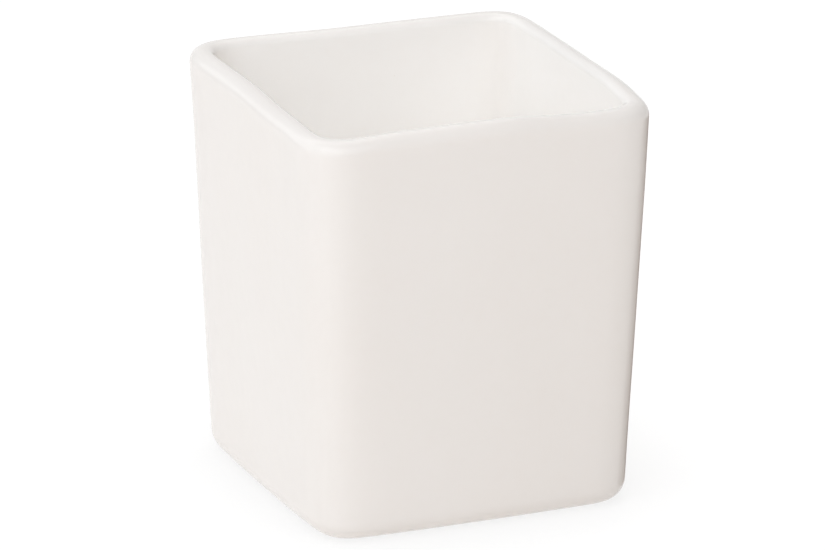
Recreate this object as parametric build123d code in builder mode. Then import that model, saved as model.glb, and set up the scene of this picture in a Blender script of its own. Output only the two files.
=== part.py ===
"""A square, tapered pen holder cup, slip-cast in one piece of glazed ceramic.

Millimetres. +Z is up, the origin is under the middle of the cup at the level of the table,
and the four faces look along +X, -X, +Y and -Y.
"""
from build123d import *
from math import radians, tan
import os

# Driving dimensions
top_width = 80.0            # across two opposite faces at the rim, over their crowns
height = 90.5               # table to the top of the lip
draft_angle = 2.25          # degrees that each side leans in towards the base
face_crown = 0.6            # how far the middle of a face stands out from its ends
corner_radius = 8.8         # upright corners, outside
wall = 5.0                  # thickness of the sides
inner_corner_radius = 5.4   # upright corners, inside, where the slip gathered
floor_thickness = 6.0       # table to the top of the floor inside
floor_radius = 4.0          # hollow between the floor and the sides
base_radius = 5.0           # edge between the sides and the underside
foot_width = 4.0            # flat ring that the cup stands on
foot_height = 1.2           # depth of the hollow inside the ring
foot_corner_radius = 6.0    # corners of that hollow
foot_edge_share = 0.6       # part of the foot's height that its rounded inner edge takes up
lip_outer_share = 0.62      # part of the wall that the outer rounding of the lip takes up
lip_inner_share = 0.36      # part of the wall that its inner rounding takes up

# The inside's cutter runs this far past the rim
overshoot = 1.0


def half_width(level):
    """Distance from the axis to the middle of an outer face, at a height above the table."""
    return top_width / 2 - (height - level) * tan(radians(draft_angle))


def crowned_square(half, radius):
    """Square outline with four bowed sides, each half from the centre, and rounded corners."""
    corner = half - face_crown
    with BuildSketch() as outline:
        with BuildLine():
            side = ThreePointArc((corner, -corner), (half, 0), (corner, corner))
            for turn in (90, 180, 270):
                add(side.rotate(Axis.Z, turn))
        make_face()
        fillet(outline.vertices(), radius)
    return outline.sketch


with BuildPart() as cup_body:
    # Outside: the four faces lean in towards a rounded base
    with BuildSketch(Plane.XY):
        add(crowned_square(half_width(0), corner_radius))
    with BuildSketch(Plane.XY.offset(height)):
        add(crowned_square(half_width(height), corner_radius))
    loft(ruled=True)
    fillet(cup_body.faces().sort_by(Axis.Z)[0].edges(), base_radius)

    # Inside: the same faces, one wall further in, down to the floor
    with BuildSketch(Plane.XY.offset(floor_thickness)):
        add(crowned_square(half_width(floor_thickness) - wall, inner_corner_radius))
    with BuildSketch(Plane.XY.offset(height + overshoot)):
        add(crowned_square(half_width(height + overshoot) - wall, inner_corner_radius))
    loft(ruled=True, mode=Mode.SUBTRACT)
    floor = cup_body.faces().filter_by(Axis.Z).sort_by(Axis.Z)[1]
    fillet(floor.edges(), floor_radius)

    # Lip: rounded over from both sides
    lip = cup_body.faces().sort_by(Axis.Z)[-1]
    fillet(lip.outer_wire().edges(), lip_outer_share * wall)
    lip = cup_body.faces().sort_by(Axis.Z)[-1]
    fillet(lip.inner_wires()[0].edges(), lip_inner_share * wall)

    # Foot ring: a shallow hollow leaves a flat ring at the rim of the base
    with BuildSketch(Plane.XY):
        add(crowned_square(half_width(0) - base_radius - foot_width, foot_corner_radius))
    extrude(amount=foot_height, mode=Mode.SUBTRACT)
    foot_ring = cup_body.faces().sort_by(Axis.Z)[0]
    fillet(foot_ring.inner_wires()[0].edges(), foot_edge_share * foot_height)

cup_body.part.label = "cup_body"

os.makedirs("parts", exist_ok=True)
export_step(cup_body.part, "parts/cup_body.step")
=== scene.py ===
"""The looks of the square pen holder cup: its glazed body, bare foot ring, floor, light and camera."""
import math
from collections import namedtuple

import bmesh
import bpy
from mathutils import Matrix, Vector, noise


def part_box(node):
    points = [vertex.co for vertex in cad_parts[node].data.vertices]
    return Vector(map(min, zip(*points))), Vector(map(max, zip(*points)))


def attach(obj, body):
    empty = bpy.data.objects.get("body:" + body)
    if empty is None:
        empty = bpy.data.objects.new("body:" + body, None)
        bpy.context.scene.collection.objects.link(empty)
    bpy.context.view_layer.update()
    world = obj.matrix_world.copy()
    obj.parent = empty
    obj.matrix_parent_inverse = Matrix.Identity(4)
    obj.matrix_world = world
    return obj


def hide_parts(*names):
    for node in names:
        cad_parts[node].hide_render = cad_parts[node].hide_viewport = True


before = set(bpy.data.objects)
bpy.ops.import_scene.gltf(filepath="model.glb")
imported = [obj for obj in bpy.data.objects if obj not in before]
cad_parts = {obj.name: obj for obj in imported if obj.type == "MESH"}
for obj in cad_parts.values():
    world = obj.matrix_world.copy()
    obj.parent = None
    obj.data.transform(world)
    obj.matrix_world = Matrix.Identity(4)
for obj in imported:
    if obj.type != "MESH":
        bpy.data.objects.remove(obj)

MM = 0.001

# The cup's sizes, as its CAD body has them
CUP_LOW, CUP_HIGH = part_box("cup_body")
HEIGHT = CUP_HIGH.z
TOP_HALF = 40.0 * MM               # axis to the middle of a face, where it would meet the rim
LEAN_ANGLE = 2.25
LEAN = math.tan(math.radians(LEAN_ANGLE))
CROWN = 0.6 * MM
CORNER = 8.8 * MM
CORNER_EASE = 1.7                  # how much further along the sides a corner runs than an arc would
WALL = 5.0 * MM
INNER_CORNER = 5.4 * MM
FLOOR_LEVEL = 6.0 * MM
FLOOR_RADIUS = 4.0 * MM
BASE_RADIUS = 5.0 * MM
FOOT_WIDTH = 4.0 * MM
FOOT_HEIGHT = 1.2 * MM
FOOT_CORNER = 6.0 * MM
FOOT_EDGE = 0.72 * MM
LIP_OUTER = 3.1 * MM
LIP_INNER = 1.8 * MM

# How finely the mesh follows them
SIDE_STEPS = 26
CORNER_STEPS = 14
WALL_STEPS = 26
BASE_STEPS = 14
LIP_STEPS = 14

# What the kiln did to it, in mm: how far the rim sank and moved outwards, and how far the body
# bulges a third of the way up. Turns are eighths of a circle, anticlockwise from the right.
Place = namedtuple("Place", "turn rim_sank rim_spread body_bulge")
RIGHT, BACK_RIGHT, BACK, BACK_LEFT, LEFT, FRONT_LEFT, FRONT, FRONT_RIGHT, ROUND_AGAIN = range(9)
KILN = (
    Place(RIGHT, 0.6, -0.1, 0.0),
    Place(BACK_RIGHT, 0.85, 0.2, 0.0),
    Place(BACK, 0.6, -0.25, 0.0),
    Place(BACK_LEFT, 0.1, 0.4, 0.3),
    Place(LEFT - 0.2, 0.05, -0.4, 0.3),
    Place(LEFT + 0.5, 0.45, 0.0, 0.35),
    Place(FRONT_LEFT, 0.7, 0.4, 0.1),
    Place(FRONT_LEFT + 0.4, 0.1, 0.0, 0.2),
    Place(FRONT, 0.0, -0.1, 0.1),
    Place(FRONT_RIGHT - 0.2, 1.3, -0.35, -0.2),
    Place(FRONT_RIGHT, 1.2, -0.4, -0.2),
    Place(FRONT_RIGHT + 0.45, 0.35, -0.1, 0.0),
)
RIM_PULL_FROM = 1 / 3              # share of the height above which the rim's own warp sets in
BULGE_LEVEL = 0.3                  # shares of the height: the middle of the bulge, and how far
BULGE_REACH = 0.5                  # above and below it the bulge dies out
EDGE_HOLD = 7                      # how squarely a point moves out from its own side
WAVES = 0.1                        # depth of the faint unevenness of its sides, in mm
WAVE_LENGTH = 26.0 * MM
LEAST_LIP_SHADE = 0.25                 # share of the lips' painted shade on the front and back lips, beside 1 at the left and right lips

# Slots of the cup's materials
GLAZE, BARE_CLAY = 0, 1

# Colours, in linear light
OUTER_WHITE = (0.865, 0.843, 0.826, 1)
# painted light: the inside's glaze is brighter and whiter than the outside's, standing in for the light
# inside the cup
INNER_PAINTED_LIGHT = (0.968, 0.963, 0.955, 1)
POOLED_WHITE = (0.950, 0.930, 0.910, 1)
# painted shade: a grey over the lips that holds down the lamps' light on them
LIP_SHADE_GREY = (0.740, 0.734, 0.727, 1)
WARM_WASH = (0.975, 0.950, 0.925, 1)
SPECK_BROWN = (0.62, 0.52, 0.43, 1)
CLAY_PALE = (0.78, 0.73, 0.66, 1)
CLAY_WARM = (0.70, 0.63, 0.55, 1)
CLAY_GRAIN = (0.45, 0.38, 0.31, 1)
ROOM_LEFT = (0.465, 0.47, 0.475, 1)
ROOM_RIGHT = (0.43, 0.39, 0.36, 1)
# painted reflection of shade: a brown sheet that only the glaze sees, for the cup's shadow on the table
SHADE_CARD_BROWN = (0.13, 0.06, 0.035, 1)
PURE_WHITE = (1, 1, 1, 1)
TABLE_PAINT = (0.12, 0.12, 0.12, 1)
TABLE_BOUNCE = (0.92, 0.90, 0.88, 1)

# One ring of the cup's skin: see section()
Row = namedtuple("Row", "half corner z material inside thin pooled bare")

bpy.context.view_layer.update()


# ---------------------------------------------------------------- the section of the cup

def half_at(z):
    """Axis to the middle of an outer face at height z."""
    return TOP_HALF - LEAN * (HEIGHT - z)


def arc_offsets(radius, start, end, steps):
    """Points of an arc, as (sideways, up) from its centre, from one angle to another in degrees."""
    angles = [math.radians(start + (end - start) * i / steps) for i in range(steps + 1)]
    return [(radius * math.cos(angle), radius * math.sin(angle)) for angle in angles]


def section():
    """Rows of the cup's skin from under its middle, out, up, over the lip, and down to the floor.

    The ring through a row is a crowned square, half wide to the middle of a side, with that corner
    radius. Inside goes from 0 to 1 over the lip, the lip's painted shade grows from 0 towards 1 near
    its crest, pooled is 1 where the glaze gathered, and bare is 1 where it was wiped off the foot.
    """
    rows = []

    def row(half, corner, z, material=GLAZE, inside=0.0, thin=0.0, pooled=0.0, bare=0.0):
        rows.append(Row(half, corner, z, material, inside, thin, pooled, bare))

    # Underside: the ceiling of the shallow recess, its wall and the ring's inner edge
    recess = half_at(0) - BASE_RADIUS - FOOT_WIDTH
    root = FOOT_HEIGHT - FOOT_EDGE                      # hollow where the recess meets its wall
    ceiling = recess - root
    for share in (0.04, 0.2, 0.4, 0.6, 0.8, 0.92, 1.0):
        row(ceiling * share, (FOOT_CORNER - root) * share, FOOT_HEIGHT, pooled=max(share * 5 - 4, 0))
    for out, up in arc_offsets(root, 90, 0, 3)[1:]:
        row(ceiling + out, FOOT_CORNER - root + out, FOOT_HEIGHT - root + up, pooled=1,
            bare=out / root)
    for out, up in arc_offsets(FOOT_EDGE, 180, 270, 5)[1:]:
        row(recess + FOOT_EDGE + out, FOOT_CORNER + FOOT_EDGE + out, FOOT_EDGE + up, BARE_CLAY, bare=1)

    # The flat of the foot ring, then the rounded base
    foot_out = half_at(0) - BASE_RADIUS
    for share in (0.33, 0.66):
        half = recess + FOOT_EDGE + (foot_out - recess - FOOT_EDGE) * share
        row(half, CORNER - BASE_RADIUS - (foot_out - half) * 0.2, 0.0, BARE_CLAY, bare=1)
    base_half = half_at(BASE_RADIUS)
    for step, (out, up) in enumerate(arc_offsets(BASE_RADIUS, 270, 360 - LEAN_ANGLE, BASE_STEPS)):
        inset = BASE_RADIUS - out
        row(base_half - inset, CORNER - inset, BASE_RADIUS + up, BARE_CLAY if step < 2 else GLAZE,
            pooled=max(1 - step / 9, 0), bare=min(1, max(1.5 - step / 2, 0)))

    # Up the side, over the lip from outside in
    side_low = rows[-1].z
    lip_low = HEIGHT - LIP_OUTER
    for i in range(1, WALL_STEPS):
        z = side_low + (lip_low - side_low) * i / WALL_STEPS
        row(half_at(z), CORNER, z)
    lip_half = half_at(lip_low)
    # Over the outer rounding, painted shade greys the lip towards its crest
    for out, up in arc_offsets(LIP_OUTER, -LEAN_ANGLE, 90, LIP_STEPS):
        inset = LIP_OUTER - out
        rise = max(up / LIP_OUTER, 0)
        row(lip_half - inset, CORNER - inset, lip_low + up, thin=min(1.6 * rise, 1.36 - 0.86 * rise))
    inner_low = HEIGHT - LIP_INNER
    inner_half = half_at(inner_low) - WALL
    # The inner rounding is greyed by painted shade as well
    for out, up in arc_offsets(LIP_INNER, 90, 180 - LEAN_ANGLE, LIP_STEPS - 4):
        grow = LIP_INNER + out
        rise = max(up / LIP_INNER, 0)
        row(inner_half + grow, INNER_CORNER + grow, inner_low + up, inside=1 - grow / LIP_INNER,
            thin=min(2 * rise, 1.2 - 0.7 * rise))

    # Down the inside to the floor
    inner_high = rows[-1].z
    turn_level = FLOOR_LEVEL + FLOOR_RADIUS
    for i in range(1, WALL_STEPS):
        z = inner_high + (turn_level - inner_high) * i / WALL_STEPS
        row(half_at(z) - WALL, INNER_CORNER, z, inside=1)
    floor_half = half_at(turn_level) - WALL
    for out, up in arc_offsets(FLOOR_RADIUS, 0, -90, 10):
        inset = FLOOR_RADIUS - out
        row(floor_half - inset, INNER_CORNER - inset, turn_level + up, inside=1,
            pooled=-up / FLOOR_RADIUS)
    flat = floor_half - FLOOR_RADIUS
    for share in (0.93, 0.8, 0.6, 0.4, 0.2, 0.04):
        row(flat * share, (INNER_CORNER - FLOOR_RADIUS) * share, FLOOR_LEVEL, inside=1,
            pooled=share ** 2)
    return rows


def ring_points(half, corner):
    """One ring of a crowned square, anticlockwise from +X: four sides and four soft corners.

    A corner eases in and out of its sides, tightest in its middle, as a superellipse does, and cuts
    off as much as an arc of the given radius. Each point is (x, y, bend), and bend is 0 along a side
    and 1 in the middle of a corner.
    """
    crown = min(CROWN, half * 0.02)
    straight = half - crown
    extent = corner * CORNER_EASE
    cut = (1 - math.sqrt(0.5)) / CORNER_EASE            # share of its extent that the middle is cut
    power = -2 * math.log2(1 - cut)
    reach = straight - extent
    points = []
    for quarter in range(4):
        turn = Matrix.Rotation(math.pi / 2 * quarter, 2)
        for i in range(SIDE_STEPS):
            y = reach * (2 * i / SIDE_STEPS - 1)
            points.append((turn @ Vector((straight, y)), 0.0))
        for i in range(CORNER_STEPS):
            angle = math.pi / 2 * i / CORNER_STEPS
            bow = Vector((math.cos(angle) ** power, math.sin(angle) ** power)) * extent
            points.append((turn @ (Vector((reach, reach)) + bow), math.sin(2 * angle)))
    bowed = []
    for p, bend in points:
        across, along = p.x / straight, p.y / straight
        x = p.x + crown * across * (1 - along ** 2)
        y = p.y + crown * along * (1 - across ** 2)
        bowed.append((x, y, bend))
    return bowed


# ---------------------------------------------------------------- what the kiln did to it

def kiln_at(turn):
    """The kiln's rim sank, rim spread and body bulge at a turn, easing from place to place."""
    turn %= ROUND_AGAIN
    places = KILN + (KILN[0]._replace(turn=ROUND_AGAIN),)
    for before, after in zip(places, places[1:]):
        if turn <= after.turn:
            share = (turn - before.turn) / (after.turn - before.turn)
            ease = (1 - math.cos(math.pi * share)) / 2
            return [a + (b - a) * ease for a, b in zip(before[1:], after[1:])]


def kiln_warp(x, y, z):
    """Where a point of the true shape ends up: the fired rim isn't quite level or straight."""
    sank, spread, bulge = kiln_at(math.atan2(y, x) / math.tau * ROUND_AGAIN)
    high = max(z / HEIGHT - RIM_PULL_FROM, 0) / (1 - RIM_PULL_FROM)
    rim = min(high, 1.0) ** 2
    body = max(1 - ((z / HEIGHT - BULGE_LEVEL) / BULGE_REACH) ** 2, 0)
    out = rim * spread + body * bulge
    reach = max(abs(x), abs(y), 0.1 * MM)
    direction = Vector(((x / reach) ** EDGE_HOLD, (y / reach) ** EDGE_HOLD, 0))
    if direction.length > 0:
        direction.normalize()
    out += WAVES * body * noise.noise(Vector((x, y, z)) / WAVE_LENGTH)
    return Vector((x, y, z - rim * sank * MM)) + direction * out * MM


def lip_shade_share(x, y):
    """Share of the lips' painted shade at a place of the rim: full on the left and right lips, least on the
    front and back.
    """
    return LEAST_LIP_SHADE + (1 - LEAST_LIP_SHADE) * x ** 4 / (x ** 4 + y ** 4)


def build_cup():
    """The whole skin of the cup as one closed mesh, with the glaze and the bare foot ring."""
    bm = bmesh.new()
    measures = ("inside", "thin", "pooled", "bare")
    inside, thin, pooled, bare = [bm.verts.layers.float.new(name) for name in measures]
    rows = section()
    rings = []
    for row in rows:
        ring = []
        for x, y, bend in ring_points(row.half, row.corner):
            vert = bm.verts.new(kiln_warp(x, y, row.z))
            vert[inside], vert[bare] = row.inside, row.bare
            # painted shade on the lips, fullest on the left and right lips
            vert[thin] = row.thin * lip_shade_share(x, y)
            vert[pooled] = max(row.pooled, row.inside * bend * (1 - row.thin))
            ring.append(vert)
        rings.append(ring)
    count = len(rings[0])
    for lower, upper, row in zip(rings, rings[1:], rows[1:]):
        for i in range(count):
            j = (i + 1) % count
            face = bm.faces.new((lower[i], lower[j], upper[j], upper[i]))
            face.material_index = row.material
            face.smooth = True
    for ring in (rings[0], rings[-1]):
        hub = bm.verts.new(sum((v.co for v in ring), Vector()) / count)
        for layer in (inside, thin, pooled, bare):
            hub[layer] = ring[0][layer]
        for i in range(count):
            face = bm.faces.new((ring[i], ring[(i + 1) % count], hub))
            face.smooth = True
    bmesh.ops.recalc_face_normals(bm, faces=bm.faces)
    mesh = bpy.data.meshes.new("cup")
    bm.to_mesh(mesh)
    bm.free()
    cup = bpy.data.objects.new("glazed_cup", mesh)
    bpy.context.scene.collection.objects.link(cup)
    return cup


# ---------------------------------------------------------------- materials

def new_material(name):
    """A new node material, with its node tree and its Principled shader."""
    material = bpy.data.materials.new(name)
    material.use_nodes = True
    tree = material.node_tree
    return material, tree, tree.nodes["Principled BSDF"]


def add_node(tree, kind, settings=(), inputs=()):
    """A node with some of its settings and unlinked inputs set."""
    node = tree.nodes.new(kind)
    for name, value in settings:
        setattr(node, name, value)
    for name, value in inputs:
        node.inputs[name].default_value = value
    return node


def noise_at(tree, where, size, detail=2.0, stretch=(1, 1, 1)):
    """Soft noise whose blotches are about a size across, in metres."""
    mapping = add_node(tree, "ShaderNodeMapping", inputs=[("Scale", stretch)])
    tree.links.new(where, mapping.inputs["Vector"])
    blotches = add_node(tree, "ShaderNodeTexNoise",
                        inputs=[("Scale", 0.6 / size), ("Detail", detail), ("Roughness", 0.5)])
    tree.links.new(mapping.outputs[0], blotches.inputs["Vector"])
    return blotches.outputs["Fac"]


def ranged(tree, value, from_low, from_high, to_low, to_high):
    """A value carried from one range over to another, held at its ends."""
    node = add_node(tree, "ShaderNodeMapRange", inputs=[
        ("From Min", from_low), ("From Max", from_high), ("To Min", to_low), ("To Max", to_high)])
    tree.links.new(value, node.inputs["Value"])
    return node.outputs[0]


def blend(tree, amount, first, second, kind="MIX"):
    """A mix of two colours, each a colour or another node's output."""
    node = add_node(tree, "ShaderNodeMixRGB", settings=[("blend_type", kind)])
    tree.links.new(amount, node.inputs["Fac"])
    for socket, colour in (("Color1", first), ("Color2", second)):
        if isinstance(colour, tuple):
            node.inputs[socket].default_value = colour
        else:
            tree.links.new(colour, node.inputs[socket])
    return node.outputs[0]


def bumps(tree, layers):
    """Bump nodes one on top of the other: (height output, distance in metres, strength)."""
    normal = None
    for height, distance, strength in layers:
        bump = add_node(tree, "ShaderNodeBump", inputs=[("Distance", distance), ("Strength", strength)])
        tree.links.new(height, bump.inputs["Height"])
        if normal:
            tree.links.new(normal, bump.inputs["Normal"])
        normal = bump.outputs[0]
    return normal


def skin(tree, name):
    """One of a mesh's own 0 to 1 measures, such as inside or pooled."""
    return add_node(tree, "ShaderNodeAttribute", settings=[("attribute_name", name)]).outputs["Fac"]


def glaze_material():
    """Warm white glaze: whiter where it lies thick, with painted light on the inside and painted shade on
    the lips.
    """
    material, tree, shader = new_material("cup_glaze")
    where = tree.nodes.new("ShaderNodeTexCoord").outputs["Object"]

    # Colour: painted light makes the inside a brighter white, pools are paler, painted shade greys the
    # lips, clouds warmer
    # painted light: the inside of the cup gets a brighter white
    colour = blend(tree, skin(tree, "inside"), OUTER_WHITE, INNER_PAINTED_LIGHT)
    colour = blend(tree, ranged(tree, skin(tree, "pooled"), 0, 1, 0, 0.7), colour, POOLED_WHITE)
    # painted shade: the lips are greyed
    colour = blend(tree, ranged(tree, skin(tree, "thin"), 0, 1, 0, 0.8), colour, LIP_SHADE_GREY)
    clouds = noise_at(tree, where, 22 * MM, 3.0, (1, 1, 0.6))
    colour = blend(tree, ranged(tree, clouds, 0.35, 0.7, 0, 0.22), colour, WARM_WASH, "MULTIPLY")
    mottle = noise_at(tree, where, 1.4 * MM, 4.0)
    colour = blend(tree, ranged(tree, mottle, 0.45, 0.75, 0, 0.10), colour, WARM_WASH, "MULTIPLY")

    # Rare pale brown specks that the clay bled into the glaze
    cells = add_node(tree, "ShaderNodeTexVoronoi", inputs=[("Scale", 1 / (7 * MM))])
    tree.links.new(where, cells.inputs["Vector"])
    speck = ranged(tree, cells.outputs["Distance"], 0.012, 0.03, 0.14, 0)
    colour = blend(tree, speck, colour, SPECK_BROWN)

    # The uneven line where the glaze was wiped off, and the clay that shows beside it
    ragged = add_node(tree, "ShaderNodeMath", settings=[("operation", "MULTIPLY_ADD")])
    tree.links.new(noise_at(tree, where, 1.6 * MM, 3.0), ragged.inputs[0])
    ragged.inputs[1].default_value = 1.6
    tree.links.new(skin(tree, "bare"), ragged.inputs[2])
    wiped = ranged(tree, ragged.outputs[0], 1.32, 1.42, 0, 1)
    colour = blend(tree, wiped, colour, CLAY_PALE)
    tree.links.new(colour, shader.inputs["Base Color"])

    # Gloss: fired smooth, with duller clouds, and the soft orange peel of a dipped glaze
    smear = ranged(tree, noise_at(tree, where, 9 * MM, 3.0), 0.3, 0.7, 0.1, 0.2)
    dull = add_node(tree, "ShaderNodeMath", settings=[("operation", "MULTIPLY_ADD")])
    tree.links.new(wiped, dull.inputs[0])
    dull.inputs[1].default_value = 0.6
    tree.links.new(smear, dull.inputs[2])
    tree.links.new(dull.outputs[0], shader.inputs["Roughness"])
    peel = noise_at(tree, where, 2.6 * MM, 1.0)
    grain = noise_at(tree, where, 0.35 * MM, 2.0)
    tree.links.new(bumps(tree, [(peel, 0.05 * MM, 0.55), (grain, 0.01 * MM, 0.4)]),
                   shader.inputs["Normal"])
    return material


def clay_material():
    """Fired clay of the unglazed foot ring: off-white, dull, gritty, with a few darker grains."""
    material, tree, shader = new_material("bare_clay")
    where = tree.nodes.new("ShaderNodeTexCoord").outputs["Object"]
    clouds = noise_at(tree, where, 6 * MM, 4.0)
    colour = blend(tree, clouds, CLAY_PALE, CLAY_WARM)
    grains = add_node(tree, "ShaderNodeTexVoronoi", inputs=[("Scale", 1 / (1.1 * MM))])
    tree.links.new(where, grains.inputs["Vector"])
    colour = blend(tree, ranged(tree, grains.outputs["Distance"], 0.1, 0.22, 0.5, 0), colour, CLAY_GRAIN)
    tree.links.new(colour, shader.inputs["Base Color"])
    grit = noise_at(tree, where, 0.3 * MM, 6.0)
    tree.links.new(ranged(tree, grit, 0.3, 0.7, 0.7, 0.92), shader.inputs["Roughness"])
    tree.links.new(bumps(tree, [(grit, 0.08 * MM, 0.7)]), shader.inputs["Normal"])
    return material


# ---------------------------------------------------------------- the studio

def seen_rays(tree):
    """1 for camera, glossy and transmission rays, which see the white surroundings, or else 0."""
    path = tree.nodes.new("ShaderNodeLightPath")
    either = path.outputs["Is Camera Ray"]
    for ray in ("Is Glossy Ray", "Is Transmission Ray"):
        most = add_node(tree, "ShaderNodeMath", settings=[("operation", "MAXIMUM")])
        tree.links.new(either, most.inputs[0])
        tree.links.new(path.outputs[ray], most.inputs[1])
        either = most.outputs[0]
    return either


def make_world():
    """White to look at. The light it gives runs from the room's cooler left to its warmer right."""
    world = bpy.data.worlds.new("studio")
    bpy.context.scene.world = world
    world.use_nodes = True
    tree = world.node_tree
    tree.nodes.clear()
    where = add_node(tree, "ShaderNodeTexCoord")
    split = add_node(tree, "ShaderNodeSeparateXYZ")
    tree.links.new(where.outputs["Generated"], split.inputs[0])
    room = add_node(tree, "ShaderNodeBackground")
    rightness = ranged(tree, split.outputs["X"], -1, 1, 0, 1)
    tree.links.new(blend(tree, rightness, ROOM_LEFT, ROOM_RIGHT), room.inputs["Color"])
    white = add_node(tree, "ShaderNodeBackground", inputs=[("Color", PURE_WHITE)])
    mix = add_node(tree, "ShaderNodeMixShader")
    output = add_node(tree, "ShaderNodeOutputWorld")
    tree.links.new(seen_rays(tree), mix.inputs["Fac"])
    tree.links.new(room.outputs[0], mix.inputs[1])
    tree.links.new(white.outputs[0], mix.inputs[2])
    tree.links.new(mix.outputs[0], output.inputs["Surface"])


def make_floor():
    """A wide white table; what the eye sees of it is mostly its own white, less soft shadows and a painted
    one round the cup.
    """
    bpy.ops.mesh.primitive_plane_add(size=6.0, location=(0, 0, CUP_LOW.z - 0.02 * MM))
    floor = bpy.context.object
    floor.name = "table_top"
    material = bpy.data.materials.new("table_white")
    material.use_nodes = True
    tree = material.node_tree
    tree.nodes.clear()
    paint = add_node(tree, "ShaderNodeBsdfDiffuse", inputs=[("Color", TABLE_PAINT)])
    glow = add_node(tree, "ShaderNodeEmission")
    # painted shadow: the white glow dims where ambient occlusion finds the cup close by
    painted_shadow = add_node(tree, "ShaderNodeAmbientOcclusion", inputs=[("Distance", 30 * MM)])
    tree.links.new(ranged(tree, painted_shadow.outputs["AO"], 0.4, 1, 0.83, 0.935), glow.inputs["Strength"])
    seen = add_node(tree, "ShaderNodeAddShader")
    tree.links.new(paint.outputs[0], seen.inputs[0])
    tree.links.new(glow.outputs[0], seen.inputs[1])
    bounce = add_node(tree, "ShaderNodeBsdfDiffuse", inputs=[("Color", TABLE_BOUNCE)])
    mix = add_node(tree, "ShaderNodeMixShader")
    output = add_node(tree, "ShaderNodeOutputMaterial")
    tree.links.new(seen_rays(tree), mix.inputs["Fac"])
    tree.links.new(bounce.outputs[0], mix.inputs[1])
    tree.links.new(seen.outputs[0], mix.inputs[2])
    tree.links.new(mix.outputs[0], output.inputs["Surface"])
    floor.data.materials.append(material)


def make_painted_shade_card():
    """A brown fan on the table, out from under the cup's right front corner and faded at its rims.

    Only the glaze sees it: a painted reflection of the cup's shadow on the table behind its right side.
    """
    rings, spokes = 10, 16
    handle, reach = 2 * MM, 450 * MM
    first, last = math.radians(-15), math.radians(80)
    near = Vector((TOP_HALF * 0.95, -TOP_HALF * 0.9, CUP_LOW.z + 0.1 * MM))
    bm = bmesh.new()
    shade = bm.verts.layers.float.new("shade")
    grid = []
    for i in range(rings + 1):
        far = i / rings
        line = []
        for j in range(spokes + 1):
            side = j / spokes
            angle = first + (last - first) * side
            arm = Vector((math.cos(angle), math.sin(angle), 0)) * (handle + reach * far)
            vert = bm.verts.new(near + arm)
            vert[shade] = min(1, 4 * side, 5 * (1 - side), 3 * (1 - far))
            line.append(vert)
        grid.append(line)
    for inner, outer in zip(grid, grid[1:]):
        for j in range(spokes):
            bm.faces.new((inner[j], outer[j], outer[j + 1], inner[j + 1]))
    card_mesh = bpy.data.meshes.new("painted_shade_card")
    bm.to_mesh(card_mesh)
    bm.free()
    card = bpy.data.objects.new("painted_shade_card", card_mesh)
    bpy.context.scene.collection.objects.link(card)
    material, tree, shader = new_material("painted_shade_brown")
    shader.inputs["Base Color"].default_value = SHADE_CARD_BROWN
    shader.inputs["Roughness"].default_value = 1.0
    tree.links.new(skin(tree, "shade"), shader.inputs["Alpha"])
    card_mesh.materials.append(material)
    card.visible_camera = card.visible_diffuse = card.visible_shadow = False


def soft_box(name, azimuth, elevation, distance, size, power):
    """A square soft light that looks at the middle of the cup from a bearing, 0 being the front."""
    a, e = math.radians(azimuth), math.radians(elevation)
    back = Vector((math.sin(a) * math.cos(e), -math.cos(a) * math.cos(e), math.sin(e)))
    lamp = bpy.data.lights.new(name, "AREA")
    lamp.shape = "SQUARE"
    lamp.size = size
    lamp.energy = power
    light = bpy.data.objects.new(name, lamp)
    light.location = Vector((0, 0, HEIGHT / 2)) + back * distance
    light.rotation_mode = "QUATERNION"
    light.rotation_quaternion = (-back).to_track_quat("-Z", "Y")
    bpy.context.scene.collection.objects.link(light)


# ---------------------------------------------------------------- the camera

def make_camera():
    """A long lens to the left of the front and a little above the rim."""
    azimuth, elevation, roll = math.radians(-22.8), math.radians(18.88), math.radians(0.23)
    distance = 1.756
    back = Vector((math.sin(azimuth) * math.cos(elevation), -math.cos(azimuth) * math.cos(elevation),
                   math.sin(elevation)))
    level = Vector((math.cos(azimuth), math.sin(azimuth), 0))
    rise = back.cross(level)
    right = level * math.cos(roll) + rise * math.sin(roll)
    up = rise * math.cos(roll) - level * math.sin(roll)
    aim = Vector((0, 0, 43.9 * MM)) - right * 1.19 * MM + up * 0.91 * MM
    data = bpy.data.cameras.new("camera")
    data.sensor_width = 36.0
    data.lens = 358.8
    data.clip_start, data.clip_end = 0.05, 50
    camera = bpy.data.objects.new("camera", data)
    place = Matrix((right, up, back)).transposed().to_4x4()
    place.translation = aim + back * distance
    camera.matrix_world = place
    bpy.context.scene.collection.objects.link(camera)
    bpy.context.scene.camera = camera


# ---------------------------------------------------------------- putting it together

cup = build_cup()
cup.data.materials.append(glaze_material())
cup.data.materials.append(clay_material())
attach(cup, "root")
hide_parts("cup_body")

make_floor()
# painted reflection of the cup's shadow on the table, seen only in the glaze
make_painted_shade_card()
make_world()
soft_box("left_back", -135, 30, 1.2, 1.0, 2.2)
soft_box("front_left", -50, 40, 1.2, 1.3, 4.6)
soft_box("front", -10, 40, 1.2, 1.0, 2.9)
soft_box("top_left", -75, 50, 1.2, 0.8, 1.7)
soft_box("top_back", 170, 62, 1.2, 0.9, 1.7)
soft_box("spark", -75, 50, 1.19, 0.2, 0.2)            # the small highlight on the lip's front left corner
make_camera()
bpy.context.scene.view_settings.view_transform = "Standard"
bpy.context.scene.cycles.diffuse_bounces = 12          # light inside a white cup bounces many times
